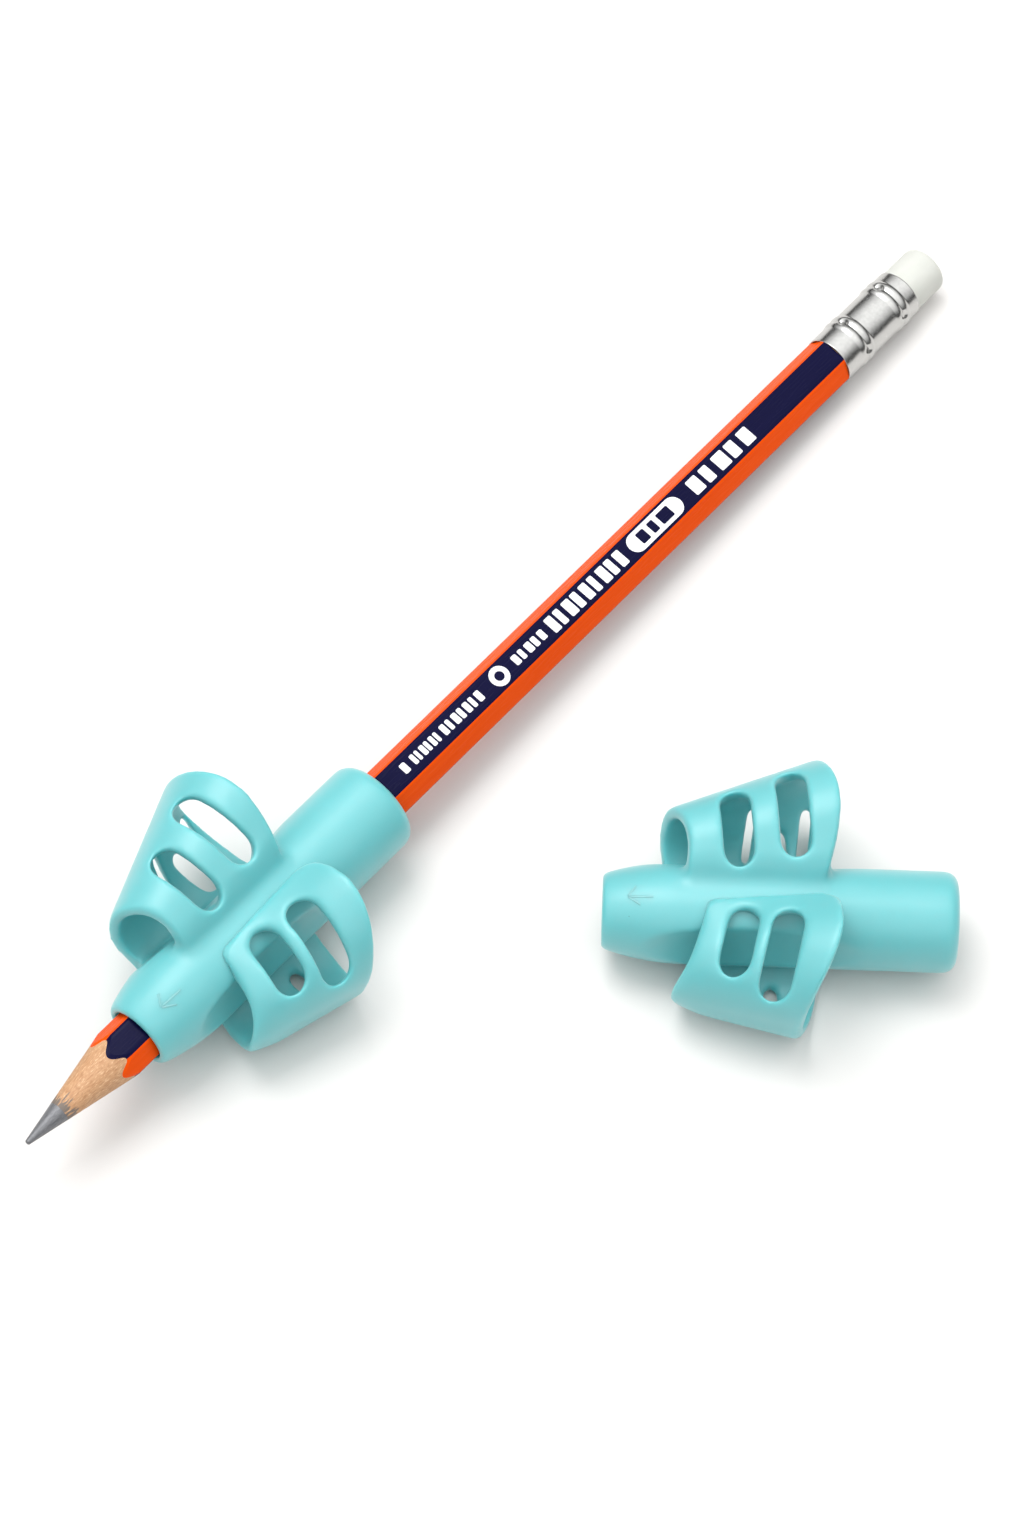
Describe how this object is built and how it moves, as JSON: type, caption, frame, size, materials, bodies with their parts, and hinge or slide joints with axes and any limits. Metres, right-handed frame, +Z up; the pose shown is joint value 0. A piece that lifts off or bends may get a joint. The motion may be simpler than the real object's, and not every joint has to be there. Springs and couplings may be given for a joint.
{
  "type": "pencil grip",
  "caption": "Soft silicone training grip with slotted index and thumb sleeves, sliding on a hexagonal pencil with an eraser, and a matching loose grip beside it.",
  "frame": {"origin": "on the table, under the middle of the whole set's box", "axes": "+X along the pencil in plan from point to eraser, +Y to the fitted grip's index side, +Z up"},
  "size_m": [0.19, 0.0956, 0.0243],
  "materials": {
    "silicone": "satin moulded silicone",
    "wood": "bare sharpened cedar",
    "graphite": "satin graphite",
    "navy_lacquer": "gloss lacquer",
    "orange_lacquer": "gloss lacquer",
    "ferrule_metal": "bright rolled sheet",
    "eraser_rubber": "matte"
  },
  "bodies": {
    "pencil": {"upper_slat": "wood", "lower_slat": "wood", "graphite_lead": "graphite", "ferrule": "ferrule_metal", "eraser": "eraser_rubber", "navy_top_stripe": "navy_lacquer", "orange_upper_right_stripe": "orange_lacquer", "navy_lower_right_stripe": "navy_lacquer", "orange_under_stripe": "orange_lacquer", "navy_lower_left_stripe": "navy_lacquer", "orange_upper_left_stripe": "orange_lacquer"},
    "fitted_grip": {"fitted_barrel": "silicone"},
    "fitted_index": {"fitted_index_sleeve": "silicone"},
    "fitted_thumb": {"fitted_thumb_sleeve": "silicone"},
    "spare_grip": {"spare_barrel": "silicone"},
    "spare_index": {"spare_index_sleeve": "silicone"},
    "spare_thumb": {"spare_thumb_sleeve": "silicone"}
  },
  "joints": [
    {"name": "grip_slide", "type": "slide", "parent": "pencil", "child": "fitted_grip", "axis": [0.9991, 0, -0.0435], "range_m": [-0.008, 0.095]},
    {"name": "fitted_index_flex", "type": "hinge", "parent": "fitted_grip", "child": "fitted_index", "pos_m": [-0.05011, 0.02698, 0.00999], "axis": [0.9991, 0, -0.0435], "range_deg": [-10, 5.5], "stiffness_Nm_per_rad": 0.05},
    {"name": "fitted_thumb_flex", "type": "hinge", "parent": "fitted_grip", "child": "fitted_thumb", "pos_m": [-0.05011, 0.02698, 0.00999], "axis": [-0.9991, 0, 0.0435], "range_deg": [-10, 5.5], "stiffness_Nm_per_rad": 0.05},
    {"name": "spare_lift", "type": "slide", "parent": "pencil", "child": "spare_grip", "axis": [0, 0, 1], "range_m": [0, 0.06]},
    {"name": "spare_index_flex", "type": "hinge", "parent": "spare_grip", "child": "spare_index", "pos_m": [-0.00317, -0.02542, 0.00815], "axis": [0.6293, -0.7771, 0], "range_deg": [-10, 5.5], "stiffness_Nm_per_rad": 0.05},
    {"name": "spare_thumb_flex", "type": "hinge", "parent": "spare_grip", "child": "spare_thumb", "pos_m": [-0.00317, -0.02542, 0.00815], "axis": [-0.6293, 0.7771, 0], "range_deg": [-10, 5.5], "stiffness_Nm_per_rad": 0.05}
  ]
}
